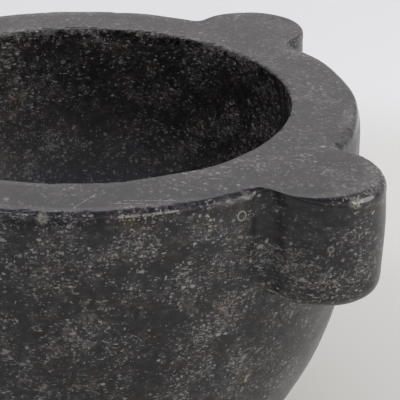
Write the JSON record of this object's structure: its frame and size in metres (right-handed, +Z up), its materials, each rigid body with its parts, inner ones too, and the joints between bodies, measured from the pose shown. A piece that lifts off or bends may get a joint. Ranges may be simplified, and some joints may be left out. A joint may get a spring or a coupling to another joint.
{
  "type": "stone mortar and pestle",
  "caption": "Round-bellied dark stone mortar with a flat thick rim, a deep bowl and side lugs level with the rim, with a loose stone pestle leaning in it for grinding food.",
  "frame": {"origin": "centre of the foot, on the surface that the mortar stands on", "axes": "+Z up, out of the bowl; +X and +Y each through the middle of a lug, and the pestle leans towards -X -Y"},
  "size_m": [0.358, 0.351, 0.2697],
  "materials": {
    "mortar_stone": "honed black fossil limestone with pale grey-cream speckles, worn edges",
    "pestle_stone": "the same limestone, duller and paler where the head grinds"
  },
  "bodies": {
    "mortar": {"mortar": "mortar_stone"},
    "pestle": {"pestle": "pestle_stone"}
  },
  "joints": [
    {"name": "pestle_lift", "type": "slide", "parent": "mortar", "child": "pestle", "axis": [0, 0, 1], "range_m": [0, 0.16]}
  ]
}
